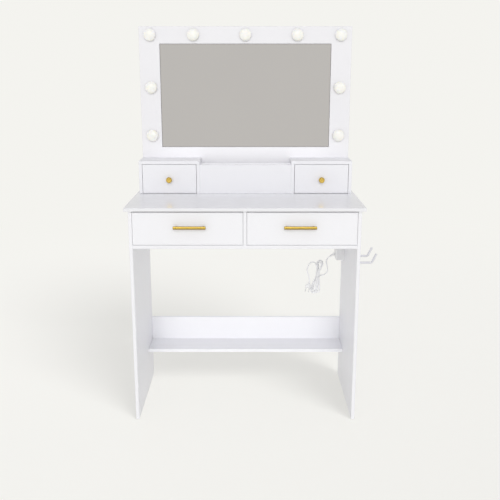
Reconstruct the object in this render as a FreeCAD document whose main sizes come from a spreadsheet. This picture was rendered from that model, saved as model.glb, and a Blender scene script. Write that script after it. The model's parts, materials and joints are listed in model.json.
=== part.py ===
"""Vanity table with a lighted mirror, two wide and two small drawers, a power box and two hooks.

Frame: +Z up, origin on the floor under the middle of the bounding box, the front faces -Y.
Inside this file x is measured from the middle of the table, y from the tabletop's front edge
towards the back and z from the floor; place() moves every piece from there to the frame.
"""
import FreeCAD, Part
import Sketcher
import math
import os
import re

DIMS = {
    # the whole table
    "top_wide": 800, "depth": 418, "top_height": 766, "board": 12, "edge": 0.8,
    "side_span": 775, "setback": 14, "glide_tall": 2, "glide_radius": 5,
    # the case under the tabletop
    "case_low": 625, "back_thick": 3, "gap_side": 0.7, "gap_top": 5, "gap_low": 1, "gap_small": 1.1,
    # the stretcher and the shelf between the side panels
    "stretcher_top": 248, "stretcher_tall": 102.5, "shelf_top": 157.5, "shelf_deep": 117.5,
    # the hutch on the tabletop
    "hutch_span": 777, "hutch_front": 291.5, "hutch_tall": 119, "hutch_box": 222,
    "ledge_tall": 104.5, "ledge_deep": 47,
    # the mirror board
    "mirror_tall": 594, "frame_thick": 9, "glass_wide": 628, "glass_tall": 375,
    "glass_low": 158, "glass_thick": 5, "glass_play": 0.5,
    # the lamps and their wire
    "lamp_side": 348, "lamp_inner": 190, "lamp_high": 564, "lamp_middle": 377, "lamp_low": 201.5,
    "globe_radius": 22, "globe_rise": 11, "globe_centre": 8, "globe_base": 5, "holder_radius": 17,
    "holder_bore": 22, "holder_long": 8, "wire_radius": 2, "groove_wide": 6, "groove_deep": 5,
    "notch_wide": 7, "notch_deep": 8.5,
    # the wide drawers
    "rail_gap": 12.5, "rail_tall": 35, "rail_long": 350, "rail_sheet": 1.2, "rail_mid": 690,
    "box_board": 10, "box_low": 645, "box_tall": 85, "groove_low": 8, "sheet": 3, "groove_in": 5,
    # the wide drawers' handles
    "handle_long": 108.5, "handle_radius": 5.5, "handle_round": 1.2, "post_span": 90, "post_radius": 3,
    "handle_out": 20, "handle_high": 700.5, "handle_x": 183.5,
    # the small drawers and their knobs
    "small_board": 9, "small_play": 2, "small_low": 0.6, "small_tall": 90, "small_long": 94,
    "knob_x": 277.5, "knob_high": 817.5, "knob_radius": 10.5, "knob_long": 22,
    # the power box and its socket insert
    "power_wide": 33.5, "power_front": 332, "power_low": 502, "power_tall": 113,
    "power_deep": 50, "power_wall": 2, "power_round": 9,
    "socket_deep": 38, "socket_tall": 88, "socket_play": 0.3, "plate_rim": 6, "plate_thick": 2.5,
    # the hooks on the right side panel
    "hook_front": 150, "hook_rear": 245, "hook_high": 541, "hook_arm": 62, "hook_tip": 15.5,
    "hook_rise": 32, "hook_radius": 4, "hook_bend": 8, "base_wide": 18, "base_tall": 44,
    "base_thick": 3, "base_screw": 15,
    # cam fittings
    "cam_radius": 7.5, "cam_deep": 9.5, "cam_inset": 30, "bolt_radius": 3, "bolt_bite": 10,
    # the cord
    "cord_radius": 2.5, "gland_long": 22, "gland_tilt": 35, "gland_high": 520, "cord_depth": 366,
    "gland_radius": 4.6, "gland_rim": 4, "tie_radius": 9,
    # the plug
    "plug_tilt": 13, "blade_thick": 1.5, "blade_wide": 6.3, "blade_long": 17, "blade_span": 12.7,
}

# Places worked out from the driving dimensions.
PLACES = {
    "centre_x": "(top_wide - side_span) / 4 - (hook_arm + hook_tip + hook_radius) / 2",
    "front_y": "-(depth - (handle_out + handle_radius - setback)) / 2",
    "top_under": "top_height - board",
    "side_in": "side_span / 2 - board",
    "case_floor": "case_low + board",
    "back_y": "depth - back_thick",
    "front_back": "setback + board",
    "clear_out": "side_in - rail_gap",
    "clear_in": "board / 2 + rail_gap",
    "hutch_out": "hutch_span / 2",
    "hutch_in": "hutch_out - hutch_box",
    "hutch_under": "hutch_tall - board",
    "mirror_front": "depth - back_thick - frame_thick",
    "small_back": "hutch_front + board",
    "small_in": "hutch_in + board + small_play",
    "small_out": "hutch_out - board - small_play",
    "small_floor": "top_height + small_low",
    "wire_y": "depth - back_thick - groove_deep / 2",
    "panel_face": "side_span / 2",
    "power_face": "side_in - power_wide",
    "socket_y": "power_front + (power_deep - socket_deep) / 2",
    "socket_z": "power_low + (power_tall - socket_tall) / 2",
    "wire_turn": "power_low + power_tall - 9",
    "wire_end": "wire_turn - top_height - holder_bore / 2 + 1",
}

doc = FreeCAD.newDocument("vanity_table")
dims = doc.addObject("Spreadsheet::Sheet", "dims")
for row, (alias, number) in enumerate(DIMS.items(), start=1):
    dims.set(f"A{row}", alias)
    dims.set(f"B{row}", str(number))
    dims.setAlias(f"B{row}", alias)
doc.recompute()
nodes = {}


def ex(text):
    """An expression on the sheet: words that name a place are spelled out, aliases get dims."""
    def word(match):
        name = match.group(0)
        if name in PLACES:
            return f"({ex(PLACES[name])})"
        return f"dims.{name}" if name in DIMS else name

    return re.sub(r"[a-z_]+", word, str(text))


def mm(alias):
    """A driving dimension as a number, for shapes made with Part's own functions."""
    return float(dims.get(alias))


def place(piece, x, y, z):
    """Puts a piece's own origin at x, y, z of the table."""
    piece.setExpression("Placement.Base.x", ex(f"centre_x + ({x})"))
    piece.setExpression("Placement.Base.y", ex(f"front_y + ({y})"))
    piece.setExpression("Placement.Base.z", ex(z))


def turn(piece, axis, degrees):
    """Turns a piece about an axis through its own origin."""
    rotation = FreeCAD.Rotation(FreeCAD.Vector(*axis), degrees)
    piece.Placement = FreeCAD.Placement(FreeCAD.Vector(), rotation)


def keep(piece, name):
    """Makes a piece a node that is written out."""
    piece.Label = name
    nodes[name] = piece
    return piece


def body(name):
    return doc.addObject("PartDesign::Body", name)


def sketch(owner, plane, offset="0"):
    """An empty sketch on one of the body's own planes, moved along its normal."""
    made = owner.newObject("Sketcher::SketchObject", f"{owner.Name}_sketch")
    support = [o for o in owner.Origin.OriginFeatures if o.Role == plane][0]
    made.AttachmentSupport = [(support, "")]
    made.MapMode = "FlatFace"
    made.setExpression("AttachmentOffset.Base.z", ex(offset))
    return made


def pin_down(made, geometry, point, u, v):
    """Fixes one point of a sketch at u, v from its origin."""
    for kind, value in (("DistanceX", u), ("DistanceY", v)):
        index = made.addConstraint(Sketcher.Constraint(kind, -1, 1, geometry, point, 1.0))
        made.setExpression(f"Constraints[{index}]", ex(value))


def outline(made, points):
    """A closed outline through points given as pairs of expressions."""
    count = len(points)
    step = 2 * math.pi / count
    rough = [FreeCAD.Vector(50 * math.cos(step * i), 50 * math.sin(step * i), 0) for i in range(count)]
    first = made.GeometryCount
    for i in range(count):
        made.addGeometry(Part.LineSegment(rough[i], rough[(i + 1) % count]), False)
    for i in range(count):
        made.addConstraint(Sketcher.Constraint("Coincident", first + i, 2, first + (i + 1) % count, 1))
        pin_down(made, first + i, 1, *points[i])


def rectangle(made, u, v):
    """A rectangle from (start, length) pairs of expressions."""
    far_u = f"({u[0]}) + ({u[1]})"
    far_v = f"({v[0]}) + ({v[1]})"
    outline(made, [(u[0], v[0]), (far_u, v[0]), (far_u, far_v), (u[0], far_v)])


def circle(made, u, v, radius):
    index = made.addGeometry(Part.Circle(FreeCAD.Vector(9, 9, 0), FreeCAD.Vector(0, 0, 1), 5), False)
    pin_down(made, index, 3, u, v)
    size = made.addConstraint(Sketcher.Constraint("Radius", index, 5))
    made.setExpression(f"Constraints[{size}]", ex(radius))


def pad(owner, profile, length, back=False, middle=False):
    made = owner.newObject("PartDesign::Pad", f"{owner.Name}_pad")
    made.Profile = profile
    made.Reversed = back
    made.Midplane = middle
    made.setExpression("Length", ex(length))
    doc.recompute()
    return made


def cut(owner, profile, length):
    """A pocket, turned round if it points away from the solid."""
    before = owner.Shape.Volume
    made = owner.newObject("PartDesign::Pocket", f"{owner.Name}_pocket")
    made.Profile = profile
    made.setExpression("Length", ex(length))
    doc.recompute()
    if not owner.Shape.Volume < before - 0.01:
        made.Reversed = True
        doc.recompute()
    assert owner.Shape.Volume < before - 0.01, f"{owner.Name}: the pocket cuts nothing"
    return made


def soften(owner, feature, size="edge", kind="Chamfer"):
    """Breaks every edge of a feature."""
    made = owner.newObject(f"PartDesign::{kind}", f"{owner.Name}_{kind.lower()}")
    made.Base = (feature, [f"Edge{i + 1}" for i in range(len(feature.Shape.Edges))])
    made.setExpression("Size" if kind == "Chamfer" else "Radius", ex(size))
    doc.recompute()
    return made


def board(name, x, y, z, size="edge"):
    """A board with broken edges; x, y and z are (start, length) pairs of expressions."""
    owner = body(name)
    flat = sketch(owner, "XY_Plane")
    rectangle(flat, ("0", x[1]), ("0", y[1]))
    soften(owner, pad(owner, flat, z[1]), size)
    place(owner, x[0], y[0], z[0])
    return owner


def sheet(name, x, y, z):
    """A thin board with square edges."""
    owner = body(name)
    flat = sketch(owner, "XY_Plane")
    rectangle(flat, ("0", x[1]), ("0", y[1]))
    pad(owner, flat, z[1])
    place(owner, x[0], y[0], z[0])
    return owner


def turned(name, profile):
    """A solid turned about its own z axis; profile holds (radius, z) pairs of expressions."""
    owner = body(name)
    half = sketch(owner, "XZ_Plane")
    outline(half, profile)
    made = owner.newObject("PartDesign::Revolution", f"{name}_turned")
    made.Profile = half
    made.ReferenceAxis = (half, ["V_Axis"])
    made.Angle = 360
    doc.recompute()
    return owner


def group(name, pieces):
    """Several solids in one node."""
    made = doc.addObject("Part::Compound", name)
    made.Links = pieces
    return keep(made, name)


def copies(name, master, spots, axis=(0, 0, 1), degrees=0):
    """One node of copies of a master piece, each at a spot of the table."""
    links = []
    for spot in spots:
        link = doc.addObject("App::Link", f"{name}_copy")
        link.LinkedObject = master
        link.LinkTransform = False
        turn(link, axis, degrees)
        place(link, *spot)
        links.append(link)
    return group(name, links)


def span(side, near, far):
    """The (start, length) of a stretch from near to far of the middle, on the side -1 or +1."""
    length = f"({far}) - ({near})"
    return (f"-({far})", length) if side < 0 else (near, length)


SIDES = (("left", -1), ("right", 1))


def side_panels():
    """The two full-depth side panels; the right one is cut out for the socket insert."""
    y = ("setback", "depth - setback")
    z = ("glide_tall", "top_under - glide_tall")
    for word, side in SIDES:
        owner = board(f"{word}_side_panel", span(side, "side_in", "panel_face"), y, z)
        if side > 0:
            hole = sketch(owner, "YZ_Plane")
            play = "2 * socket_play"
            rectangle(
                hole,
                ("socket_y - setback - socket_play", f"socket_deep + {play}"),
                ("socket_z - glide_tall - socket_play", f"socket_tall + {play}"),
            )
            cut(owner, hole, "board")
        keep(owner, f"{word}_side_panel")


def notched(name, x, y, z, notch_x):
    """A board with a notch in its rear edge for the lamp wire."""
    owner = board(name, x, y, z)
    slot = sketch(owner, "XY_Plane")
    deep = f"({y[0]}) + ({y[1]}) - depth + notch_deep"
    rectangle(slot, (f"{notch_x} - ({x[0]}) - notch_wide / 2", "notch_wide"),
              (f"({y[1]}) - ({deep})", deep))
    cut(owner, slot, z[1])
    return keep(owner, name)


def case():
    """Tabletop, bottom, back and divider of the drawer case."""
    notched("tabletop", ("-top_wide / 2", "top_wide"), ("0", "depth"), ("top_under", "board"),
            "lamp_side")
    wide = ("-side_in", "2 * side_in")
    inside = ("setback", "back_y - setback")
    floor = notched("case_bottom_panel", wide, inside, ("case_low", "board"), "lamp_side")
    cams = sketch(floor, "XY_Plane")
    for u in ("cam_inset", "2 * side_in - cam_inset"):
        for v in CASE_CAMS:
            circle(cams, u, f"{v} - setback", "cam_radius")
    cut(floor, cams, "cam_deep")
    bore_ends(floor, "2 * side_in", [(f"{v} - setback", "board / 2") for v in CASE_CAMS])
    keep(sheet("case_back_panel", wide, ("back_y", "back_thick"),
               ("case_low", "top_under - case_low")), "case_back_panel")
    keep(board("drawer_divider", ("-board / 2", "board"), inside,
               ("case_floor", "top_under - case_floor")), "drawer_divider")


def bore_ends(owner, length, spots):
    """Bolt holes from both ends of a board to its cams; spots are (y, z) in the board."""
    for start in ("0", length):
        ends = sketch(owner, "YZ_Plane", start)
        for u, v in spots:
            circle(ends, u, v, "bolt_radius")
        cut(owner, ends, "cam_inset")


CASE_CAMS = ("70", "340")
STRETCHER_CAMS = ("25", "stretcher_tall - 25")


def stretcher_and_shelf():
    """The rear stretcher, held by cams in its back face, and the shelf on its front."""
    wide = ("-side_in", "2 * side_in")
    owner = board("rear_stretcher", wide, ("depth - board", "board"),
                  ("stretcher_top - stretcher_tall", "stretcher_tall"))
    cams = sketch(owner, "XZ_Plane", "-board")
    for u in ("cam_inset", "2 * side_in - cam_inset"):
        for v in STRETCHER_CAMS:
            circle(cams, u, v, "cam_radius")
    cut(owner, cams, "cam_deep")
    bore_ends(owner, "2 * side_in", [("board / 2", v) for v in STRETCHER_CAMS])
    keep(owner, "rear_stretcher")
    keep(board("lower_shelf", wide, ("depth - board - shelf_deep", "shelf_deep"),
               ("shelf_top - board", "board")), "lower_shelf")


def cam_fittings():
    """Cam discs in the case bottom and the stretcher, and the bolts that they pull on."""
    under = cam_disc("cam_disc")
    discs = []
    for x in ("-(side_in - cam_inset)", "side_in - cam_inset"):
        for y in CASE_CAMS:
            discs.append((x, y, "case_low", (1, 0, 0), 0))
        for z in STRETCHER_CAMS:
            discs.append((x, "depth", f"stretcher_top - stretcher_tall + {z}", (1, 0, 0), 90))
    links = []
    for x, y, z, axis, degrees in discs:
        link = doc.addObject("App::Link", "cam_lock")
        link.LinkedObject = under
        link.LinkTransform = False
        turn(link, axis, degrees)
        place(link, x, y, z)
        links.append(link)
    group("cam_locks", links)
    shaft = body("bolt_master")
    end = sketch(shaft, "YZ_Plane")
    circle(end, "0", "0", "bolt_radius - 0.2")
    pad(shaft, end, "bolt_bite + cam_inset - cam_radius", middle=True)
    spots = []
    for side in (-1, 1):
        x = f"{side} * (side_in + (bolt_bite - cam_inset + cam_radius) / 2)"
        spots += [(x, y, "case_low + board / 2") for y in CASE_CAMS]
        spots += [(x, "depth - board / 2", f"stretcher_top - stretcher_tall + {z}")
                  for z in STRETCHER_CAMS]
    copies("cam_bolts", shaft, spots)


def cam_disc(name):
    """A cam disc with a cross slot in its face at z = 0."""
    owner = turned(name, [("0", "0"), ("cam_radius", "0"), ("cam_radius", "cam_deep"),
                          ("0", "cam_deep")])
    slot = sketch(owner, "XY_Plane")
    outline(slot, [("-5", "-1"), ("-1", "-1"), ("-1", "-5"), ("1", "-5"), ("1", "-1"), ("5", "-1"),
                   ("5", "1"), ("1", "1"), ("1", "5"), ("-1", "5"), ("-1", "1"), ("-5", "1")])
    cut(owner, slot, "2")
    return owner


def glides():
    """A nail-on glide under each corner of the side panels."""
    master = turned("glide_master", [
        ("0", "0"), ("glide_radius - 1", "0"), ("glide_radius", "1"), ("glide_radius", "glide_tall"),
        ("1.5", "glide_tall"), ("1.5", "glide_tall + 10"), ("0", "glide_tall + 12"),
    ])
    x = "panel_face - board / 2"
    spots = [(f"{side} * ({x})", y, "0") for side in (-1, 1) for y in ("setback + 25", "depth - 25")]
    copies("floor_glides", master, spots)


def hutch():
    """Two boxes for the small drawers, with a flush panel and a ledge between them."""
    deep = ("hutch_front", "mirror_front - hutch_front")
    stand = ("top_height", "hutch_under")
    for word, side in SIDES:
        keep(board(f"{word}_hutch_top", span(side, "hutch_in", "hutch_out"), deep,
                   ("top_height + hutch_under", "board")), f"{word}_hutch_top")
        outer = board(f"{word}_hutch_outer", span(side, "hutch_out - board", "hutch_out"), deep, stand)
        inner = board(f"{word}_hutch_inner", span(side, "hutch_in", "hutch_in + board"), deep, stand)
        group(f"{word}_hutch_sides", [outer, inner])
    wide = ("-hutch_in", "2 * hutch_in")
    keep(board("hutch_front_panel", wide, ("hutch_front", "board"), ("top_height", "ledge_tall")),
         "hutch_front_panel")
    keep(board("hutch_ledge", wide, ("small_back", "ledge_deep"),
               ("top_height + ledge_tall - board", "board")), "hutch_ledge")


LAMPS = (
    [("lamp_side * -1", "lamp_low"), ("lamp_side * -1", "lamp_middle"), ("lamp_side * -1", "lamp_high")]
    + [("lamp_inner * -1", "lamp_high"), ("0", "lamp_high"), ("lamp_inner", "lamp_high")]
    + [("lamp_side", "lamp_high"), ("lamp_side", "lamp_middle"), ("lamp_side", "lamp_low")]
)


def mirror():
    """The frame board with its window, the glass in it and the thin board behind both."""
    owner = body("mirror_frame")
    face = sketch(owner, "XZ_Plane")
    rectangle(face, ("-hutch_out", "hutch_span"), ("0", "mirror_tall"))
    slab = soften(owner, pad(owner, face, "frame_thick", back=True))
    window = sketch(owner, "XZ_Plane")
    rectangle(window, ("-glass_wide / 2", "glass_wide"), ("glass_low", "glass_tall"))
    cut(owner, window, "frame_thick")
    holes = sketch(owner, "XZ_Plane")
    for x, z in LAMPS:
        circle(holes, x, z, "holder_bore / 2")
    cut(owner, holes, "frame_thick")
    groove = sketch(owner, "XZ_Plane", "-frame_thick")
    half = "groove_wide / 2"
    out, inn = f"lamp_side + {half}", f"lamp_side - {half}"
    over, under = f"lamp_high + {half}", f"lamp_high - {half}"
    outline(groove, [
        (f"-({out})", "lamp_low"), (f"-({out})", over), (out, over), (out, "0"),
        (inn, "0"), (inn, under), (f"-({inn})", under), (f"-({inn})", "lamp_low"),
    ])
    cut(owner, groove, "groove_deep")
    place(owner, "0", "mirror_front", "top_height")
    keep(owner, "mirror_frame")
    glass = board("mirror_glass", ("glass_play - glass_wide / 2", "glass_wide - 2 * glass_play"),
                  ("back_y - glass_thick", "glass_thick"),
                  ("top_height + glass_low + glass_play", "glass_tall - 2 * glass_play"))
    keep(glass, "mirror_glass")
    keep(sheet("mirror_back_panel", ("-hutch_out", "hutch_span"), ("back_y", "back_thick"),
               ("top_height", "mirror_tall")), "mirror_back_panel")


def lamps():
    """Nine globes in their holders, and the wire that runs from holder to holder and down."""
    spots = [(x, "mirror_front", f"top_height + {z}") for x, z in LAMPS]
    holder = turned("holder_master", [
        ("0", "-holder_long"), ("holder_bore / 2 - 0.2", "-holder_long"),
        ("holder_bore / 2 - 0.2", "0"), ("holder_radius", "0"), ("holder_radius", "globe_base - 1"),
        ("holder_radius - 1", "globe_base"), ("0", "globe_base"),
    ])
    copies("lamp_holders", holder, spots, (1, 0, 0), 90)
    globe = body("globe_master")
    dome = globe.newObject("PartDesign::AdditiveEllipsoid", "globe_dome")
    dome.setExpression("Radius1", ex("globe_rise"))
    dome.setExpression("Radius2", ex("globe_radius"))
    dome.setExpression("Radius3", ex("globe_radius"))
    doc.recompute()
    flat = sketch(globe, "XY_Plane", "globe_base - globe_centre")
    circle(flat, "0", "0", "globe_radius + 1")
    cut(globe, flat, "globe_radius")
    lift = [(x, "mirror_front - globe_centre", z) for x, y, z in spots]
    copies("led_bulbs", globe, lift, (1, 0, 0), 90)
    wires = []
    for (xa, za), (xb, zb) in list(zip(LAMPS, LAMPS[1:])) + [(LAMPS[-1], ("lamp_side", "wire_end"))]:
        across = za == zb
        wire = body("wire")
        end = sketch(wire, "YZ_Plane" if across else "XY_Plane")
        circle(end, "0", "0", "wire_radius")
        length = f"({xb}) - ({xa})" if across else f"abs(({zb}) - ({za}))"
        pad(wire, end, f"{length} - holder_bore + 2", middle=True)
        place(wire, f"(({xa}) + ({xb})) / 2", "wire_y", f"top_height + (({za}) + ({zb})) / 2")
        wires.append(wire)
    entry = body("wire_entry")
    end = sketch(entry, "XZ_Plane")
    circle(end, "0", "0", "wire_radius")
    reach = "wire_y + wire_radius - power_front - power_deep + power_wall"
    pad(entry, end, reach, back=True)
    place(entry, "lamp_side", "power_front + power_deep - power_wall", "wire_turn - wire_radius")
    group("lamp_wiring", wires + [entry])


def channel(name, way, x, tall, deep):
    """A slide member: a C section with its web at x, open towards way, along the drawer."""
    owner = body(name)
    face = sketch(owner, "XZ_Plane")
    low, high, thick = f"-({tall}) / 2", f"({tall}) / 2", "rail_sheet"
    points = [
        ("0", low), (deep, low), (deep, f"{low} + {thick}"), (thick, f"{low} + {thick}"),
        (thick, f"{high} - {thick}"), (deep, f"{high} - {thick}"), (deep, high), ("0", high),
    ]
    outline(face, [(f"{way} * ({u})", v) for u, v in points])
    pad(owner, face, "rail_long", back=True)
    place(owner, x, "front_back", "rail_mid")
    return owner


def slides():
    """Telescopic slides: a cabinet, a middle and a drawer member at both sides of each drawer."""
    cabinet = []
    for word, side in SIDES:
        middle, drawer = [], []
        for spot, wall, box, way in (
            ("outer", "side_in", "clear_out", -side), ("inner", "board / 2", "clear_in", side),
        ):
            name = f"{word}_{spot}"
            wall_x, box_x = f"{side} * ({wall})", f"{side} * ({box})"
            cabinet.append(channel(f"{name}_cabinet", way, wall_x, "rail_tall", "rail_gap - 1.5"))
            middle_x = f"{wall_x} + {way} * 3"
            middle.append(channel(f"{name}_middle", way, middle_x, "rail_tall - 7", "rail_gap - 5"))
            drawer.append(channel(f"{name}_drawer", -way, box_x, "rail_tall - 14", "rail_gap - 5.5"))
        group(f"{word}_middle_rails", middle)
        group(f"{word}_drawer_rails", drawer)
    group("cabinet_rails", cabinet)


def grooved(name, side_x, way, low, tall, y, length, thick):
    """A drawer side: a board with a groove for the bottom, on its face towards way."""
    owner = body(name)
    face = sketch(owner, "XZ_Plane")
    edge = f"({thick}) - groove_in"
    points = [
        ("0", "0"), (thick, "0"), (thick, "groove_low"), (edge, "groove_low"),
        (edge, "groove_low + sheet"), (thick, "groove_low + sheet"), (thick, tall), ("0", tall),
    ]
    outline(face, [(f"{way} * ({u})", v) for u, v in points])
    pad(owner, face, length, back=True)
    place(owner, side_x, y, low)
    return owner


def drawer_box(word, side, near, far, low, tall, y, length, thick):
    """Sides, back and bottom of a drawer between near and far of the middle."""
    outer = grooved(f"{word}_outer_side", f"{side} * ({far})", -side, low, tall, y, length, thick)
    inner = grooved(f"{word}_inner_side", f"{side} * ({near})", side, low, tall, y, length, thick)
    above = "groove_low + sheet"
    rear = sheet(f"{word}_back", span(side, f"({near}) + {thick}", f"({far}) - {thick}"),
                 (f"({y}) + {length} - {thick}", thick), (f"({low}) + {above}", f"{tall} - ({above})"))
    floor = sheet(f"{word}_bottom",
                  span(side, f"({near}) + {thick} - groove_in", f"({far}) - {thick} + groove_in"),
                  (y, length), (f"({low}) + groove_low", "sheet"))
    keep(floor, f"{word}_bottom")
    return outer, inner, rear


def drilled(owner, spots, radius, thick):
    """Screw holes through a drawer front; spots are (x, z) in the front."""
    holes = sketch(owner, "XZ_Plane")
    for u, v in spots:
        circle(holes, u, v, radius)
    cut(owner, holes, thick)


def wide_drawers():
    """The two drawers of the case, with bar handles."""
    for word, side in SIDES:
        name = f"{word}_drawer"
        x = span(side, "board / 2 + gap_side", "side_in - gap_side")
        z = ("case_floor + gap_low", "top_under - gap_top - case_floor - gap_low")
        front = board(f"{name}_front", x, ("setback", "board"), z)
        posts = [f"{side} * handle_x + {end} * post_span / 2" for end in (-1, 1)]
        drilled(front, [(f"{p} - ({x[0]})", f"handle_high - ({z[0]})") for p in posts], "2.2", "board")
        keep(front, f"{name}_front")
        outer, inner, rear = drawer_box(name, side, "clear_in", "clear_out", "box_low", "box_tall",
                                        "front_back", "rail_long", "box_board")
        group(f"{name}_sides", [outer, inner])
        keep(rear, f"{name}_back")
        handle(name, side)
        screw = screw_master(f"{name}_screw", "board + 6")
        spots = [(p, "front_back", "handle_high") for p in posts]
        copies(f"{name}_handle_screws", screw, spots, (1, 0, 0), 90)


def screw_master(name, long):
    """A pan-head screw: its head stands behind z = 0 and its shank reaches to z = long."""
    return turned(name, [
        ("0", "-2.5"), ("3", "-2.5"), ("4", "-1.5"), ("4", "0"), ("2", "0"), ("2", long), ("0", long),
    ])


def handle(name, side):
    """A round bar on two posts, in front of a wide drawer."""
    owner = body(f"{name}_handle")
    end = sketch(owner, "YZ_Plane")
    circle(end, "0", "0", "handle_radius")
    bar = pad(owner, end, "handle_long", middle=True)
    soften(owner, bar, "handle_round", "Fillet")
    feet = sketch(owner, "XZ_Plane")
    for u in ("-post_span / 2", "post_span / 2"):
        circle(feet, u, "0", "post_radius")
    pad(owner, feet, "handle_out", back=True)
    bores = sketch(owner, "XZ_Plane", "-handle_out")
    for u in ("-post_span / 2", "post_span / 2"):
        circle(bores, u, "0", "2")
    cut(owner, bores, "6")
    place(owner, f"{side} * handle_x", "setback - handle_out", "handle_high")
    keep(owner, f"{name}_handle")


def small_drawers():
    """The two drawers of the hutch, with knobs."""
    for word, side in SIDES:
        name = f"small_{word}_drawer"
        x = span(side, "hutch_in + board + gap_small", "hutch_out - board - gap_small")
        z = ("top_height + gap_small", "hutch_under - 2 * gap_small")
        front = board(f"{name}_front", x, ("hutch_front", "board"), z)
        drilled(front, [(f"{side} * knob_x - ({x[0]})", f"knob_high - ({z[0]})")], "2.2", "board")
        keep(front, f"{name}_front")
        outer, inner, rear = drawer_box(name, side, "small_in", "small_out", "small_floor",
                                        "small_tall", "small_back", "small_long", "small_board")
        group(f"{name}_box", [outer, inner, rear])
        knob(name, side)


def knob(name, side):
    """A turned knob and the screw that holds it."""
    head = turned(f"{name}_knob_head", [
        ("0", "6"), ("2", "6"), ("2", "0"), ("6.5", "0"), ("6.5", "1.5"), ("4.5", "3"), ("4.5", "9"),
        ("knob_radius", "knob_long - 9"), ("knob_radius", "knob_long - 3"),
        ("knob_radius - 2.5", "knob_long"), ("0", "knob_long"),
    ])
    turn(head, (1, 0, 0), 90)
    place(head, f"{side} * knob_x", "hutch_front", "knob_high")
    screw = screw_master(f"{name}_knob_screw", "board + 6")
    turn(screw, (1, 0, 0), 90)
    place(screw, f"{side} * knob_x", "small_back", "knob_high")
    group(f"{name}_knob", [head, screw])


def power_box():
    """The power box inside the right side panel and its socket insert, which faces outwards."""
    owner = body("power_box_housing")
    flat = sketch(owner, "XY_Plane")
    rectangle(flat, ("0", "power_wide"), ("0", "power_deep"))
    block = pad(owner, flat, "power_tall")
    rounded = owner.newObject("PartDesign::Fillet", "power_box_round")
    away = [f"Edge{i + 1}" for i, e in enumerate(block.Shape.Edges) if e.BoundBox.XMax < 0.1]
    rounded.Base = (block, away)
    rounded.setExpression("Radius", ex("power_round"))
    doc.recompute()
    hollow = sketch(owner, "YZ_Plane", "power_wide")
    rectangle(hollow, ("power_round - power_wall", "power_deep - 2 * (power_round - power_wall)"),
              ("power_round", "power_tall - 2 * power_round"))
    cut(owner, hollow, "power_wide - power_wall")
    place(owner, "power_face", "power_front", "power_low")
    keep(owner, "power_box_housing")

    insert = body("power_sockets")
    plate = sketch(insert, "YZ_Plane")
    rim = "2 * plate_rim"
    rectangle(plate, ("-plate_rim", f"socket_deep + {rim}"), ("-plate_rim", f"socket_tall + {rim}"))
    soften(insert, pad(insert, plate, "plate_thick"))
    core = sketch(insert, "YZ_Plane")
    rectangle(core, ("0", "socket_deep"), ("0", "socket_tall"))
    pad(insert, core, "board", back=True)
    slots = sketch(insert, "YZ_Plane", "plate_thick")
    for level in ("socket_tall * 0.28", "socket_tall * 0.72"):
        rectangle(slots, ("socket_deep / 2 - 7.2", "1.8"), (f"{level} - 1", "8"))
        rectangle(slots, ("socket_deep / 2 + 5.4", "1.8"), (f"{level} - 1", "7"))
        circle(slots, "socket_deep / 2", f"{level} - 8", "2.4")
    cut(insert, slots, "10")
    place(insert, "panel_face", "socket_y", "socket_z")
    keep(insert, "power_sockets")


def hooks():
    """Two bent rods with base plates on the outer face of the right side panel."""
    arm, tip, rise, bend = (mm(a) for a in ("hook_arm", "hook_tip", "hook_rise", "hook_bend"))
    slope = math.atan2(rise, tip)
    back = bend * math.tan(slope / 2)
    for word in ("front", "rear"):
        owner = body(f"{word}_hook")
        base = sketch(owner, "YZ_Plane")
        rectangle(base, ("-base_wide / 2", "base_wide"), ("-base_tall / 2", "base_tall"))
        soften(owner, pad(owner, base, "base_thick"), "edge")
        path = sketch(owner, "XZ_Plane")
        centre = FreeCAD.Vector(arm - back, bend, 0)
        foot, turn_start = FreeCAD.Vector(0, 0, 0), FreeCAD.Vector(arm - back, 0, 0)
        path.addGeometry(Part.LineSegment(foot, turn_start), False)
        ring = Part.Circle(centre, FreeCAD.Vector(0, 0, 1), bend)
        path.addGeometry(Part.ArcOfCircle(ring, -math.pi / 2, slope - math.pi / 2), False)
        start = FreeCAD.Vector(arm + back * math.cos(slope), back * math.sin(slope), 0)
        path.addGeometry(Part.LineSegment(start, FreeCAD.Vector(arm + tip, rise, 0)), False)
        path.addConstraint(Sketcher.Constraint("Coincident", 0, 1, -1, 1))
        path.addConstraint(Sketcher.Constraint("Horizontal", 0))
        path.addConstraint(Sketcher.Constraint("Tangent", 0, 2, 1, 1))
        path.addConstraint(Sketcher.Constraint("Tangent", 1, 2, 2, 1))
        path.setExpression(f"Constraints[{path.addConstraint(Sketcher.Constraint('Radius', 1, bend))}]",
                           ex("hook_bend"))
        pin_down(path, 2, 2, "hook_arm + hook_tip", "hook_rise")
        reach = path.addConstraint(Sketcher.Constraint("DistanceX", -1, 1, 0, 2, arm - back))
        path.setExpression(f"Constraints[{reach}]",
                           ex("hook_arm - hook_bend * tan(atan2(hook_rise; hook_tip) / 2)"))
        ring_sketch = sketch(owner, "YZ_Plane")
        circle(ring_sketch, "0", "0", "hook_radius")
        rod = owner.newObject("PartDesign::AdditivePipe", f"{word}_hook_rod")
        rod.Profile = ring_sketch
        rod.Spine = (path, ["Edge1", "Edge2", "Edge3"])
        doc.recompute()
        place(owner, "panel_face", f"hook_{word}", "hook_high")
        keep(owner, f"{word}_hook")
    screw = screw_master("hook_screw_master", "10")
    spots = [("panel_face + base_thick", f"hook_{word}", f"hook_high + {side} * base_screw")
             for word in ("front", "rear") for side in (-1, 1)]
    copies("hook_screws", screw, spots, (0, 1, 0), -90)


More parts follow.
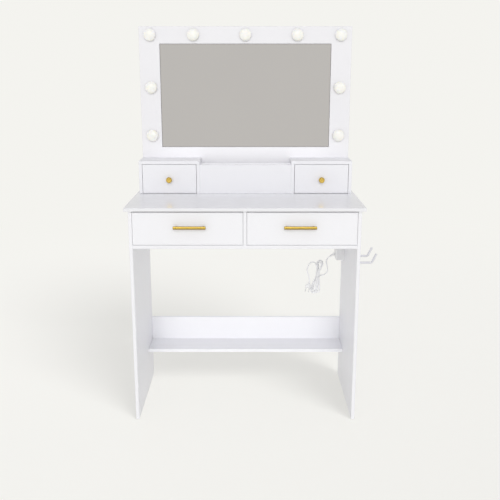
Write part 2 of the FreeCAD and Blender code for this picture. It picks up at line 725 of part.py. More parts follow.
# The cord's route, in table coordinates. The lead starts at the gland's end.
LEAD = [
    (315, 365.5, 501), (311, 365.5, 488), (314, 366, 474), (317.5, 366.5, 460),
    (316.5, 367.5, 446), (308, 369, 436), (298, 372, 431.5), (288.5, 376, 429),
]
TAIL = [
    (272.5, 358, 476), (268, 358, 485.5), (257, 359.5, 489), (245.5, 361, 480), (239, 361, 464),
    (238, 360, 453), (239.5, 358, 445), (244, 355.5, 433), (248, 352.3, 422), (247, 352, 412),
]
# The hank's sections from its top to its bottom: middle x and y, height, half width and half depth.
HANK = [
    (287.5, 366, 494, 9, 11), (287.5, 366, 488, 13, 15), (285.5, 366, 472, 14, 15),
    (282.5, 366, 455, 10, 10.5), (280.5, 366, 446, 8, 8), (279.5, 366, 433, 8, 8),
    (277.5, 366.5, 420, 11, 12), (273.5, 365, 400, 16, 14.5), (270.5, 364.5, 380, 20, 17.5),
    (270.5, 364.5, 368, 20, 17), (271.5, 366, 359, 15, 12),
]


# The plug's sections from its neck to its face: height, half width and half depth.
PLUG = [(0, 3.6, 3.4), (8, 4.6, 4.2), (16, 8.5, 6), (24, 12, 7.5), (27, 11.5, 7)]


def free_piece(name, shape):
    """A piece made with Part's own functions in table coordinates."""
    made = doc.addObject("Part::Feature", name)
    made.Shape = shape
    place(made, "0", "0", "0")
    return keep(made, name)


def tube(points, radius):
    """A round tube of straight runs and tangent arcs, each as large as its two runs allow."""
    points = [FreeCAD.Vector(*p) for p in points]
    edges, at, radii = [], points[0], []
    for before, corner, after in zip(points, points[1:], points[2:]):
        way_in = (corner - before).normalize()
        way_out = (after - corner).normalize()
        half = way_in.getAngle(way_out) / 2
        back = 0.45 * min((corner - before).Length, (after - corner).Length)
        radii.append(back / math.tan(half))
        start, end = corner - way_in * back, corner + way_out * back
        middle_way = (way_out - way_in).normalize()
        middle = corner + middle_way * (radii[-1] / math.cos(half) - radii[-1])
        edges += [Part.LineSegment(at, start).toShape(), Part.Arc(start, middle, end).toShape()]
        at = end
    edges.append(Part.LineSegment(at, points[-1]).toShape())
    wire = Part.Wire(edges)
    ring = Part.Wire([Part.Circle(points[0], points[1] - points[0], radius).toShape()])
    made = wire.makePipeShell([ring], True, False)
    long = wire.Length
    error = made.Volume / (math.pi * radius ** 2 * long) - 1
    print(f"tube {long:.1f} mm, volume off by {error:.4f}, smallest radius {min(radii):.1f}")
    print("  radii", [round(r, 1) for r in radii])
    return made


def oval(x, y, z, wide, deep):
    """A level oval wire at height z: a circle of radius 1 stretched both ways."""
    stretch = FreeCAD.Matrix(wide, 0, 0, x, 0, deep, 0, y, 0, 0, 1, z)
    return Part.Wire([Part.Circle().toShape().transformGeometry(stretch)])


def cord():
    """The tied-up lead of the power box: gland, lead, hank, tie, tail and plug."""
    gland = turned("gland_master", [
        ("0", "-gland_rim / 2"), ("gland_radius", "-gland_rim / 2"), ("gland_radius", "gland_rim / 2"),
        ("1.6 * cord_radius", "gland_rim / 2 + 1"), ("1.2 * cord_radius", "gland_long"),
        ("0", "gland_long"),
    ])
    turn(gland, (0, 1, 0), -90 - mm("gland_tilt"))
    place(gland, "power_face", "cord_depth", "gland_high")
    keep(gland, "cord_gland")
    radius, depth = mm("cord_radius"), mm("cord_depth")
    tilt = math.radians(mm("gland_tilt"))
    face, long = mm("side_span") / 2 - mm("board") - mm("power_wide"), mm("gland_long")
    exit_point = (face - long * math.cos(tilt), depth, mm("gland_high") - long * math.sin(tilt))
    free_piece("cord_lead", tube([exit_point] + LEAD, radius))
    free_piece("cord_tail", tube(TAIL, radius))
    free_piece("cord_hank", Part.makeLoft([oval(*section) for section in HANK], True, False))
    x, y, z, inner = HANK[5][:4]
    rise = FreeCAD.Vector(HANK[4][0] - x, 0, HANK[4][2] - z)
    outside, inside = [Part.Face(oval(x, y, z, size, size)).extrude(rise)
                       for size in (mm("tie_radius"), inner - 0.3)]
    free_piece("cord_tie", outside.cut(inside))
    plug_way(TAIL[-1])


def plug_way(neck):
    """The plug's wedge-shaped body and its two blades, on the end of the tail."""
    thick, wide, long = mm("blade_thick"), mm("blade_wide"), mm("blade_long")
    spread, face = mm("blade_span") / 2, PLUG[-1][0]
    blades = [Part.makeBox(thick, wide, long, FreeCAD.Vector(x - thick / 2, -wide / 2, face))
              for x in (-spread, spread)]
    shapes = {
        "plug_body": Part.makeLoft([oval(0, 0, *section) for section in PLUG], True, False),
        "plug_blades": Part.Compound(blades),
    }
    for name, shape in shapes.items():
        made = doc.addObject("Part::Feature", name)
        made.Shape = shape
        turn(made, (0, 1, 0), 180 + mm("plug_tilt"))
        place(made, *(str(v) for v in neck))
        keep(made, name)


def write_out():
    """Checks every object and writes one STEP file per node."""
    doc.recompute()
    for thing in doc.Objects:
        assert not {"Invalid", "Error"} & set(thing.State), f"{thing.Name}: {thing.State}"
    for name, piece in nodes.items():
        assert not piece.Shape.isNull() and piece.Shape.isValid(), f"{name} has a bad shape"
        assert piece.Shape.Solids, f"{name} has no solid"
    os.makedirs("parts", exist_ok=True)
    for name, piece in nodes.items():
        piece.Shape.exportStep(f"parts/{name}.step")
    print(len(nodes), "nodes,", sum(len(p.Shape.Solids) for p in nodes.values()), "solids")


side_panels()
case()
stretcher_and_shelf()
cam_fittings()
glides()
hutch()
mirror()
lamps()
slides()
wide_drawers()
small_drawers()
power_box()
hooks()
cord()
write_out()
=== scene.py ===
"""The looks of the vanity table with mirror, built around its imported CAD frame."""
import json
import math

import bmesh
import bpy
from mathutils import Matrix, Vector


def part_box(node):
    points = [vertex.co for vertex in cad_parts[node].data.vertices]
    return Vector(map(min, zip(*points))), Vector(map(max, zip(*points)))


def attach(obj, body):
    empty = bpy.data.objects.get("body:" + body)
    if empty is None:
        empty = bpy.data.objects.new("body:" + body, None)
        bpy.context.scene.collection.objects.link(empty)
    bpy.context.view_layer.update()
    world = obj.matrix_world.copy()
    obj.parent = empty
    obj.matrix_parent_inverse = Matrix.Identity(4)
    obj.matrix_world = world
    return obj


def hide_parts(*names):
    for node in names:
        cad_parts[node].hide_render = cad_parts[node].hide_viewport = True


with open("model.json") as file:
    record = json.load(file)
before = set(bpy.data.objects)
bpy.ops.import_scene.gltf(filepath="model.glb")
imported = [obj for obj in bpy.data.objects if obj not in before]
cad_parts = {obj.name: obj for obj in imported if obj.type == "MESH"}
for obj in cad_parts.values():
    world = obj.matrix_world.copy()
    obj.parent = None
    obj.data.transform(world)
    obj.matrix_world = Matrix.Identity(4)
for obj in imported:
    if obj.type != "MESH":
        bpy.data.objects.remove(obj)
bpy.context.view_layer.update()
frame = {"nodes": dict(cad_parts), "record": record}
MM = 0.001

# ---------------------------------------------------------------- places
top_low, top_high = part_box("tabletop")
AXIS_X = (top_low[0] + top_high[0]) / 2
FRONT_Y = top_low[1]


def at(x, y, z):
    """A point in metres, from mm: x from the table's middle, y from the tabletop's front edge, z up."""
    return Vector((AXIS_X + x * MM, FRONT_Y + y * MM, z * MM))


def level(degrees):
    """The unit vectors along and behind a level line turned about the vertical."""
    a = math.radians(degrees)
    return Vector((math.cos(a), -math.sin(a), 0)), Vector((math.sin(a), math.cos(a), 0))


# ---------------------------------------------------------------- node graphs
def add(tree, kind, settings=None, **inputs):
    """A shader node with its inputs linked or set by name."""
    made = tree.nodes.new("ShaderNode" + kind)
    for key, value in (settings or {}).items():
        setattr(made, key, value)
    for key, value in inputs.items():
        fill(tree, made.inputs[key.replace("_", " ")], value)
    return made


def fill(tree, socket, value):
    """Links a socket to another node's output, or sets it to a constant."""
    if isinstance(value, bpy.types.NodeSocket):
        tree.links.new(value, socket)
    else:
        socket.default_value = value


def feed(tree, made, *values):
    """Fills a node's first inputs in order; returns the node."""
    for socket, value in zip(made.inputs, values):
        fill(tree, socket, value)
    return made


def noise(tree, where, scale, detail=2.0, rough=0.5):
    """Smooth noise between 0 and 1; scale counts its features per metre."""
    made = add(tree, "TexNoise", Vector=where, Scale=scale, Detail=detail, Roughness=rough)
    return made.outputs["Fac"]


def stretched(tree, where, factors):
    """Coordinates scaled by x, y, z factors."""
    return add(tree, "Mapping", Vector=where, Scale=factors).outputs["Vector"]


def span(tree, value, low, high, start=0.3, end=0.7):
    """A value between start and end spread over low to high; noise mostly lies between 0.3 and 0.7."""
    made = add(tree, "MapRange", Value=value)
    for key, number in zip(("From Min", "From Max", "To Min", "To Max"), (start, end, low, high)):
        made.inputs[key].default_value = number
    return made.outputs["Result"]


def eased(tree, value, start, end):
    """A smooth step from 0 at start to 1 at end."""
    made = add(tree, "MapRange", {"interpolation_type": "SMOOTHSTEP"}, Value=value)
    for key, number in zip(("From Min", "From Max"), (start, end)):
        made.inputs[key].default_value = number
    return made.outputs["Result"]


def blend_colours(tree, factor, a, b):
    """Colour a at factor 0, colour b at factor 1."""
    made = add(tree, "Mix", {"data_type": "RGBA"})
    factor_socket, a_socket, b_socket, result = 0, 6, 7, 2  # the colour sockets among the node's many
    for index, value in ((factor_socket, factor), (a_socket, a), (b_socket, b)):
        fill(tree, made.inputs[index], value)
    return made.outputs[result]


def bump(tree, height, strength, distance, normal=None):
    """A normal tilted by a height between 0 and 1 that stands for distance metres."""
    made = add(tree, "Bump", Height=height, Strength=strength, Distance=distance)
    if normal is not None:
        tree.links.new(normal, made.inputs["Normal"])
    return made.outputs["Normal"]


def rgb(r, g, b):
    """An opaque colour."""
    return (r, g, b, 1.0)


def shade(colour, factor):
    """A three-number colour made darker or lighter."""
    return rgb(*(min(1.0, c * factor) for c in colour))


# ---------------------------------------------------------------- finishes
class Finish:
    """A material on a Principled shader, with the parts that most finishes share."""

    def __init__(self, name, **constants):
        self.material = bpy.data.materials.new(name)
        self.material.use_nodes = True
        self.tree = self.material.node_tree
        self.shader = self.tree.nodes["Principled BSDF"]
        self.where = add(self.tree, "TexCoord").outputs["Object"]
        for key, value in constants.items():
            self.shader.inputs[key.replace("_", " ")].default_value = value

    def link(self, value, socket):
        self.tree.links.new(value, self.shader.inputs[socket])

    def noise(self, scale, detail=2.0, rough=0.5):
        return noise(self.tree, self.where, scale, detail, rough)

    def colour(self, base, spread, scale):
        """A base colour that varies a little from place to place."""
        factor = span(self.tree, self.noise(scale, 3.0), 0.0, 1.0)
        mixed = blend_colours(self.tree, factor, shade(base, 1 - spread), shade(base, 1 + spread))
        self.link(mixed, "Base Color")

    def roughness(self, low, high, scale):
        """A roughness that varies between low and high from place to place."""
        self.link(span(self.tree, self.noise(scale, 3.0), low, high), "Roughness")


def board_finish(name, base, low, high, peel):
    """Melamine-faced board: a fine pearl texture, a hint of waviness and softened, greyer edges.

    low and high bound its roughness, and peel is the strength of the pearl texture.
    """
    edge_radius, edge_start, edge_end = 1.1 * MM, 0.86, 0.995
    face_dark, edge_dark = 0.987, 0.93
    wave_strength, wave_height, pearl_height = 0.10, 0.4 * MM, 0.12 * MM
    made = Finish(name)
    tree = made.tree
    rounded = add(tree, "Bevel", {"samples": 4}, Radius=edge_radius).outputs["Normal"]
    flat = add(tree, "NewGeometry").outputs["Normal"]
    facing = feed(tree, add(tree, "VectorMath", {"operation": "DOT_PRODUCT"}), rounded, flat)
    mottle = span(tree, made.noise(7.0, 4.0), 0.0, 1.0)
    face = blend_colours(tree, mottle, shade(base, face_dark), rgb(*base))
    on_edge = span(tree, facing.outputs["Value"], 1.0, 0.0, edge_start, edge_end)
    worn = span(tree, made.noise(90.0, 3.0), 0.15, 0.6)
    edge = feed(tree, add(tree, "Math", {"operation": "MULTIPLY"}), on_edge, worn).outputs[0]
    made.link(blend_colours(tree, edge, face, shade(base, edge_dark)), "Base Color")
    made.roughness(low, high, 45.0)
    wavy = bump(tree, made.noise(22.0, 1.0), wave_strength, wave_height, rounded)
    made.link(bump(tree, made.noise(1300.0, 2.0, 0.4), peel, pearl_height, wavy), "Normal")
    return made.material


def metal_finish(name, base, low, high, grain, depth):
    """Metal with a fine directional grain; grain gives the noise scale along x, y and z."""
    made = Finish(name, Metallic=1.0)
    made.colour(base, 0.05, 30.0)
    lines = noise(made.tree, stretched(made.tree, made.where, grain), 1.0, 3.0, 0.6)
    made.link(span(made.tree, lines, low, high), "Roughness")
    made.link(bump(made.tree, lines, depth, 0.08 * MM), "Normal")
    return made.material


def plastic_finish(name, base, low, high, scale, depth, **constants):
    """Moulded or soft plastic, or paint, with a fine spark-eroded texture."""
    made = Finish(name, **constants)
    made.colour(base, 0.012, 25.0)
    made.roughness(low, high, 60.0)
    made.link(bump(made.tree, made.noise(scale), depth, 0.1 * MM), "Normal")
    return made.material


def mirror_finish():
    """Silvered glass: a near-perfect, slightly warm reflection with a faint haze, dimmed to about six
    tenths by painted shade.
    """
    made = Finish("mirror_silver_dimmed", Metallic=1.0)
    haze = span(made.tree, made.noise(4.0, 3.0), 0.0, 1.0)
    # The base is far darker than real silvering: painted shade that stands in for a dimmer room in the
    # reflection.
    dark, light = rgb(0.555, 0.537, 0.531), rgb(0.563, 0.545, 0.539)
    made.link(blend_colours(made.tree, haze, dark, light), "Base Color")
    made.roughness(0.012, 0.03, 9.0)
    return made.material


def opal_finish():
    """Opal diffuser: a bright satin skin over light-scattering plastic, with a faint painted glow."""
    made = Finish(
        "opal_globe_painted_glow", IOR=1.45, Subsurface_Weight=0.35, Subsurface_Scale=4 * MM,
        # The emission is a faint painted glow that brightens the bulbs.
        Coat_Weight=0.15, Coat_Roughness=0.25, Emission_Strength=0.02,
    )
    made.shader.inputs["Subsurface Radius"].default_value = (1.0, 0.9, 0.7)
    made.shader.inputs["Emission Color"].default_value = rgb(1.0, 0.99, 0.95)
    made.colour((0.875, 0.87, 0.835), 0.008, 40.0)
    made.roughness(0.34, 0.44, 120.0)
    made.link(bump(made.tree, made.noise(1500.0), 0.05, 0.1 * MM), "Normal")
    return made.material


# Each finish: name, base colour, lowest and highest roughness, then its texture.
# The tabletop's glossier melamine has a darker base than the white board's: painted shade on the top
# surface.
board_gloss_shaded_copy = board_finish("melamine_gloss_shaded_copy", (0.812, 0.812, 0.84), 0.13, 0.19, 0.04)
# The mirror frame's melamine is the white board's with a darker base: painted shade.
board_frame_shaded_copy = board_finish("melamine_frame_shaded_copy", (0.81, 0.805, 0.835), 0.36, 0.46, 0.16)
# The knobs' brass is a lighter copy of the bars': its lighter base is painted light.
gold_knob_lit_copy = metal_finish(
    "gold_brushed_knob_lit_copy", (0.62, 0.43, 0.10), 0.20, 0.32, (1800, 60, 1800), 0.2)
SLOT_LOOKS = {
    "white_board": board_finish("melamine_white", (0.855, 0.855, 0.888), 0.36, 0.46, 0.16),
    "drawer_board": board_finish("melamine_inner", (0.83, 0.832, 0.842), 0.45, 0.55, 0.25),
    "thin_board": board_finish("hardboard_painted", (0.82, 0.82, 0.822), 0.5, 0.62, 0.5),
    "mirror_glass": mirror_finish(),
    "globe": opal_finish(),
    "white_plastic": plastic_finish("white_plastic", (0.84, 0.84, 0.85), 0.3, 0.42, 2200.0, 0.2),
    # The bars' brass has a darker base than the knobs': painted shade standing in for the bar's darker
    # underside.
    "gold": metal_finish(
        "gold_brushed_bar_shaded_copy", (0.39, 0.27, 0.06), 0.24, 0.36, (40, 2600, 2600), 0.25),
    "steel": metal_finish("zinc_steel", (0.60, 0.61, 0.63), 0.28, 0.42, (900, 60, 1500), 0.2),
    "hook_paint": plastic_finish(
        "powder_coat_grey", (0.69, 0.69, 0.73), 0.34, 0.48, 2600.0, 0.45,
        Coat_Weight=0.2, Coat_Roughness=0.3),
    "cord_skin": plastic_finish("vinyl_white", (0.86, 0.86, 0.875), 0.62, 0.72, 1800.0, 0.3),
    "glide": plastic_finish("nylon_glide", (0.56, 0.55, 0.53), 0.45, 0.6, 1500.0, 0.4),
}
# Nodes whose look differs from the rest of their slot. The tabletop's and the frame's darker bases are
# painted shade, and the knobs' lighter brass is painted light.
NODE_LOOKS = {
    "tabletop": board_gloss_shaded_copy,
    "mirror_frame": board_frame_shaded_copy,
    "small_left_drawer_knob": gold_knob_lit_copy,
    "small_right_drawer_knob": gold_knob_lit_copy,
}


def set_look(piece, look):
    """Gives a piece one material."""
    if not piece.material_slots:
        piece.data.materials.append(look)
    for slot in piece.material_slots:
        slot.material = look


for part in frame["record"]["subparts"]:
    slot_look = SLOT_LOOKS[part["material_slot"]]
    set_look(frame["nodes"][part["node"]], NODE_LOOKS.get(part["node"], slot_look))


# ---------------------------------------------------------------- new pieces
def new_piece(name, body, slot, look=None):
    """A mesh piece that rides on a body; returns the object."""
    piece = bpy.data.objects.new(name, bpy.data.meshes.new(name))
    bpy.context.scene.collection.objects.link(piece)
    set_look(piece, look or SLOT_LOOKS[slot])
    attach(piece, body)
    return piece


def skin(piece, rings, closed=False):
    """Fills a piece's mesh with a skin over rings of points, all with the same count.

    A closed skin joins the last ring to the first, and an open one has a face over each end.
    """
    made = bmesh.new()
    rows = [[made.verts.new(p) for p in ring] for ring in rings]
    pairs = list(zip(rows, rows[1:])) + ([(rows[-1], rows[0])] if closed else [])
    for low, high in pairs:
        for i in range(len(low)):
            j = (i + 1) % len(low)
            made.faces.new((low[i], low[j], high[j], high[i]))
    if not closed:
        made.faces.new(rows[0][::-1])
        made.faces.new(rows[-1])
    bmesh.ops.recalc_face_normals(made, faces=made.faces)
    for face in made.faces:
        face.smooth = True
    made.to_mesh(piece.data)
    made.free()


# ---------------------------------------------------------------- the cord
# Its points are in table millimetres, as at() takes them.
CORD = 5.0
EXIT = (323.98, 366, 507.38)
LEAD = [
    (315, 365.5, 501), (311, 365.5, 488), (314, 366, 474), (317.5, 366.5, 460),
    (316.5, 367.5, 446), (308, 369, 436), (298, 372, 431.5), (288.5, 376, 429),
    (284.5, 378, 420), (286.5, 376, 405), (289, 373, 388),
]
TAIL = [
    (275.5, 359.5, 463), (272.5, 358, 476), (268, 358, 485.5), (257, 359.5, 489),
    (245.5, 361, 480), (239, 361, 464), (238, 360, 453), (239.5, 358, 445),
    (244, 355.5, 433), (248, 352.3, 422), (247, 352, 412),
]
# The hank's folds: middle x and y, height of the fold's end, and its turn about the vertical.
LOW_FOLDS = [
    (278.5, 375.5, 361, 22), (271.5, 370, 367, 34), (265, 364, 361.5, 45), (258.5, 358, 366, 56),
]
HIGH_FOLDS = [(290.5, 371.5, 491, 44), (287, 366.5, 486, 47), (283.5, 361, 489.5, 50)]
FOLD_RADIUS, FOLD_EDGE = 10.86, 4.5
# The seven runs where they are tied: along and behind the line through the bundle's middle row.
RUNS = [(-2.55, 4.4), (2.55, 4.4), (-5.1, 0), (5.1, 0), (0, 0), (2.55, -4.4), (-2.55, -4.4)]
TIE_MIDDLE, TIE_TURN, TIE_LEAN = (280.0, 366.0, 440.0), 40, 0.09
TIE_ENDS = (449, 431)


def tie_axis(z):
    """The tied bundle's axis at height z."""
    x, y, middle = TIE_MIDDLE
    return Vector((x + (z - middle) * TIE_LEAN, y, z))


def tied(run, z):
    """Where a run of the hank passes height z inside its tie."""
    along, behind = level(TIE_TURN)
    u, v = RUNS[run]
    return tie_axis(z) + along * u + behind * v


def fold(x, y, z, degrees, up):
    """The control points of one fold, from its minus end to its plus end; up is 1 or -1."""
    along, _ = level(degrees)
    middle = Vector((x, y, z - up * FOLD_RADIUS))
    r, e = FOLD_RADIUS, FOLD_EDGE
    return [
        middle + along * u + Vector((0, 0, up * v))
        for u, v in ((-r, -e), (-r, e), (-e, r), (e, r), (r, e), (r, -e))
    ]


def cord_route():
    """The cord's control points, from the gland to the plug's neck."""
    halfway, past_halfway = 0.5, 0.55
    route = [Vector(p) for p in [EXIT] + LEAD]
    for turn, low_fold in enumerate(LOW_FOLDS):
        low = fold(*low_fold, -1)[::-1]
        if turn:
            high, deep = [tied(2 * turn - 1, z) for z in TIE_ENDS]
            route += [route[-1].lerp(high, past_halfway), high, deep, deep.lerp(low[0], halfway)]
        route += low
        deep, high = [tied(2 * turn, z) for z in TIE_ENDS[::-1]]
        route += [low[-1].lerp(deep, halfway), deep, high]
        if turn < len(HIGH_FOLDS):
            crest = fold(*HIGH_FOLDS[turn], 1)
            route += [high.lerp(crest[0], halfway)] + crest
    return route + [Vector(p) for p in TAIL]


def make_cord():
    """The whole cord as one smooth round curve."""
    data = bpy.data.curves.new("power_cord", "CURVE")
    data.dimensions = "3D"
    data.bevel_depth = CORD / 2 * MM
    data.bevel_resolution = 5
    data.resolution_u = 8
    data.use_fill_caps = True
    route = cord_route()
    line = data.splines.new("NURBS")
    line.points.add(len(route) - 1)
    for point, place in zip(line.points, route):
        point.co = (*at(*place), 1.0)
    line.order_u = 3
    line.use_endpoint_u = True
    piece = bpy.data.objects.new("power_cord", data)
    bpy.context.scene.collection.objects.link(piece)
    set_look(piece, SLOT_LOOKS["cord_skin"])
    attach(piece, "cabinet")
    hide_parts("cord_lead", "cord_hank", "cord_tail")
    return piece


# The strap round the hank, in mm: its edges' heights, its thickness and its edges' rounding.
STRAP_LOW, STRAP_HIGH, STRAP_THICK, STRAP_SOFT, STRAP_PLAY = 433.5, 445.5, 0.9, 0.35, 0.1
# Its free end: half its extra thickness, the way it faces in radians, how sharply it ends and the
# cosine of the angle where it does. The last two are the points round the strap and the angle over
# which its inner face is smoothed.
LAP_HALF, LAP_FACES, LAP_SHARP, LAP_REACH = 0.55, 2.2, 6, 0.55
STRAP_STEPS, STRAP_BLUR = 96, 0.2


def make_tie():
    """A strap wrapped tight round the seven runs, with its free end laid back over itself."""
    piece = new_piece("cord_strap", "cabinet", "cord_skin", SLOT_LOOKS["white_plastic"])
    along, behind = level(TIE_TURN)

    def hull(angle):
        """How far the strap's inner face lies from the bundle's axis in one direction."""
        way = along * math.cos(angle) + behind * math.sin(angle)
        reach = max((along * u + behind * v).dot(way) for u, v in RUNS)
        return reach + CORD / 2 + STRAP_PLAY

    def ring(outward, z):
        """The strap's outline at height z, from its inner face at outward 0 to its outer at 1."""
        points = []
        for i in range(STRAP_STEPS):
            a = 2 * math.pi * i / STRAP_STEPS
            lap = LAP_HALF * (1 + math.tanh(LAP_SHARP * (math.cos(a - LAP_FACES) - LAP_REACH)))
            near = hull(a) * 0.5 + 0.25 * (hull(a - STRAP_BLUR) + hull(a + STRAP_BLUR))
            way = along * math.cos(a) + behind * math.sin(a)
            points.append(at(*(tie_axis(z) + way * (near + outward * (STRAP_THICK + lap)))))
        return points

    low, high, soft = STRAP_LOW, STRAP_HIGH, STRAP_SOFT
    profile = [
        (0, low + soft), (0.3, low), (0.7, low), (1, low + soft),
        (1, high - soft), (0.7, high), (0.3, high), (0, high - soft),
    ]
    skin(piece, [ring(*p) for p in profile], closed=True)
    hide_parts("cord_tie")
    return piece


# The plug's sections in mm: distance from its neck, half width, half depth and squareness.
PLUG = [
    (-1.5, 2.7, 2.7, 2.0), (0, 3.4, 3.2, 2.0), (1.2, 3.5, 3.3, 2.0), (1.7, 2.9, 2.8, 2.0),
    (2.6, 2.9, 2.8, 2.0), (3.1, 3.8, 3.5, 2.0), (4.3, 3.9, 3.6, 2.0), (4.8, 3.2, 3.1, 2.0),
    (5.7, 3.3, 3.2, 2.0), (6.2, 4.3, 3.9, 2.1), (7.8, 4.6, 4.2, 2.2), (10, 5.2, 4.5, 2.3),
    (13, 6.9, 5.2, 2.5), (16, 8.6, 5.9, 2.7), (19.5, 10.2, 6.6, 2.9), (23, 11.5, 7.1, 3.1),
    (25.4, 11.9, 7.3, 3.2), (26.4, 11.6, 7.0, 3.2), (27, 10.9, 6.4, 3.1), (27.1, 8, 4.5, 2.8),
]
PLUG_TILT, PLUG_STEPS = 13, 40


def make_plug():
    """The moulded plug: a ribbed neck that swells into a flat-sided wedge."""
    piece = new_piece("plug_shell", "cabinet", "white_plastic")
    tilt = math.radians(PLUG_TILT)
    down = Vector((-math.sin(tilt), 0, -math.cos(tilt)))
    wide = Vector((math.cos(tilt), 0, -math.sin(tilt)))
    neck = Vector(TAIL[-1])
    rings = []
    for far, a, b, power in PLUG:
        ring = []
        for i in range(PLUG_STEPS):
            t = 2 * math.pi * i / PLUG_STEPS
            u = math.copysign(abs(math.cos(t)) ** (2 / power), math.cos(t)) * a
            v = math.copysign(abs(math.sin(t)) ** (2 / power), math.sin(t)) * b
            ring.append(at(*(neck + down * far + wide * u + Vector((0, v, 0)))))
        rings.append(ring)
    skin(piece, rings)
    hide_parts("plug_body")
    return piece


power_cord = make_cord()
cord_strap = make_tie()
plug_shell = make_plug()

# ---------------------------------------------------------------- the stage
BACKDROP = rgb(0.905, 0.899, 0.863)
SKY_TOP = rgb(0.66, 0.66, 0.68)
SKY_START, SKY_END = 0.12, 0.6  # the sine of the height where the sky starts and ends dimming
PAPER_DARK, PAPER_LIGHT = rgb(0.498, 0.495, 0.475), rgb(0.502, 0.499, 0.479)
FLOOR_GLOW = 0.46
FLOOR_REACH = 30
FADE_START, FADE_END = 1.6, 3.6  # metres from the table where the floor turns into backdrop


def floor_finish():
    """Pale paper that takes soft shadows near the table and fades into the even backdrop."""
    look = bpy.data.materials.new("floor_paper")
    look.use_nodes = True
    tree = look.node_tree
    tree.nodes.clear()
    where = add(tree, "TexCoord").outputs["Object"]
    far = add(tree, "VectorMath", {"operation": "LENGTH"}, Vector=where).outputs["Value"]
    grain = span(tree, noise(tree, where, 1.2, 3.0), 0.0, 1.0)
    base = blend_colours(tree, grain, PAPER_DARK, PAPER_LIGHT)
    paper = add(tree, "BsdfDiffuse", Color=base, Roughness=0.5).outputs[0]
    glow = add(tree, "Emission", Color=BACKDROP, Strength=FLOOR_GLOW).outputs[0]
    near = feed(tree, add(tree, "AddShader"), paper, glow).outputs[0]
    plain = add(tree, "Emission", Color=BACKDROP, Strength=1.0).outputs[0]
    fade = eased(tree, far, FADE_START, FADE_END)
    both = feed(tree, add(tree, "MixShader"), fade, near, plain)
    add(tree, "OutputMaterial", Surface=both.outputs[0])
    return look


def make_floor():
    data = bpy.data.meshes.new("floor")
    made = bmesh.new()
    bmesh.ops.create_grid(made, x_segments=24, y_segments=24, size=FLOOR_REACH)
    made.to_mesh(data)
    made.free()
    floor = bpy.data.objects.new("floor", data)
    bpy.context.scene.collection.objects.link(floor)
    data.materials.append(floor_finish())


def make_world():
    """An even studio: bright backdrop near the horizon, dimmer ceiling overhead."""
    world = bpy.data.worlds.new("studio")
    bpy.context.scene.world = world
    world.use_nodes = True
    tree = world.node_tree
    tree.nodes.clear()
    way = add(tree, "TexCoord").outputs["Generated"]
    height = add(tree, "SeparateXYZ", Vector=way).outputs["Z"]
    sky = blend_colours(tree, eased(tree, height, SKY_START, SKY_END), BACKDROP, SKY_TOP)
    light = add(tree, "Background", Color=sky, Strength=1.0)
    add(tree, "OutputWorld", Surface=light.outputs[0])


# ---------------------------------------------------------------- the lights
# Soft far lights: degrees right of the front, degrees up, spread in degrees and strength.
SUNS = {
    "front_light": (0, 22, 30, 0.88),
    "floor_light": (34, 43, 30, 1.12),
    "low_fill": (0, 18, 40, 0.4),
    "cord_fill": (0, 18, 80, 0.55),
    "bar_light": (0, 72, 50, 1.1),
}
# The strip over the hutch's slot: its place and the point it faces in table mm, its size in
# metres and its watts.
STRIP_PLACE, STRIP_TARGET = (0, 300, 915), (0, 409, 875)
STRIP_SIZE, STRIP_WATTS = (0.66, 0.03), 0.085
# The nodes that the fills and the strip light.
UNDER_CASE = ("rear_stretcher", "lower_shelf", "power_box_housing", "cord_gland", "plug_blades")
BARS = ("left_drawer_handle", "right_drawer_handle")
SLOT_PIECES = ("mirror_frame", "hutch_ledge")


def node_names(nodes):
    """The object names of CAD nodes."""
    return [frame["nodes"][node].name for node in nodes]


def new_lamp(name, kind, energy):
    """A lamp in the scene; returns its object."""
    data = bpy.data.lights.new(name, kind)
    data.energy = energy
    lamp = bpy.data.objects.new(name, data)
    bpy.context.scene.collection.objects.link(lamp)
    return lamp


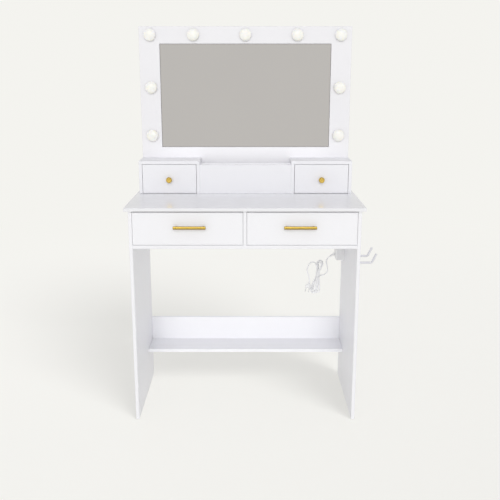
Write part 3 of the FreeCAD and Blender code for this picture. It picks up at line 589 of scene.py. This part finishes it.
def make_sun(name):
    """One of the soft far lights."""
    azimuth, height, spread, strength = SUNS[name]
    lamp = new_lamp(name, "SUN", strength)
    lamp.data.angle = math.radians(spread)
    lamp.rotation_euler = (math.radians(90 - height), 0, math.radians(azimuth))
    return lamp


def make_strip():
    """A small soft light over the hutch's slot that is itself never seen."""
    lamp = new_lamp("slot_fill", "AREA", STRIP_WATTS)
    lamp.data.shape = "RECTANGLE"
    lamp.data.size, lamp.data.size_y = STRIP_SIZE
    lamp.location = at(*STRIP_PLACE)
    facing = at(*STRIP_TARGET) - at(*STRIP_PLACE)
    lamp.rotation_euler = facing.to_track_quat("-Z", "Y").to_euler()
    lamp.visible_camera = lamp.visible_glossy = False
    return lamp


def only_for(lamp, names, state="INCLUDE"):
    """Lets a lamp light only the named objects, or all but them."""
    chosen = bpy.data.collections.new(f"{lamp.name}_link")
    for name in names:
        chosen.objects.link(bpy.data.objects[name])
    for entry in chosen.collection_objects:
        entry.light_linking.link_state = state
    lamp.light_linking.receiver_collection = chosen


def make_lights():
    """A low soft front light for the table, the floor's own light, and faint fills where it is dim."""
    only_for(make_sun("front_light"), ["floor"], "EXCLUDE")
    only_for(make_sun("floor_light"), ["floor"])
    only_for(make_sun("low_fill"), node_names(UNDER_CASE))
    only_for(make_sun("cord_fill"), ["power_cord", "cord_strap"])
    only_for(make_sun("bar_light"), node_names(BARS))
    only_for(make_strip(), node_names(SLOT_PIECES))


# ---------------------------------------------------------------- the camera
# The sensor and lens in mm, the place in metres from the front middle of the tabletop's outline on
# the floor, and the tilt in degrees from straight down.
SENSOR, LENS = 36, 51.81
CAMERA_RIGHT, CAMERA_BACK, CAMERA_HIGH, CAMERA_TILT = 0.0168, 2.3226, 1.2038, 76


def make_camera():
    data = bpy.data.cameras.new("camera")
    data.sensor_width = SENSOR
    data.lens = LENS
    camera = bpy.data.objects.new("camera", data)
    camera.location = (AXIS_X + CAMERA_RIGHT, FRONT_Y - CAMERA_BACK, CAMERA_HIGH)
    camera.rotation_euler = (math.radians(CAMERA_TILT), 0, 0)
    bpy.context.scene.collection.objects.link(camera)
    bpy.context.scene.camera = camera


make_floor()
make_world()
make_lights()
make_camera()
bpy.context.scene.view_settings.view_transform = "Standard"
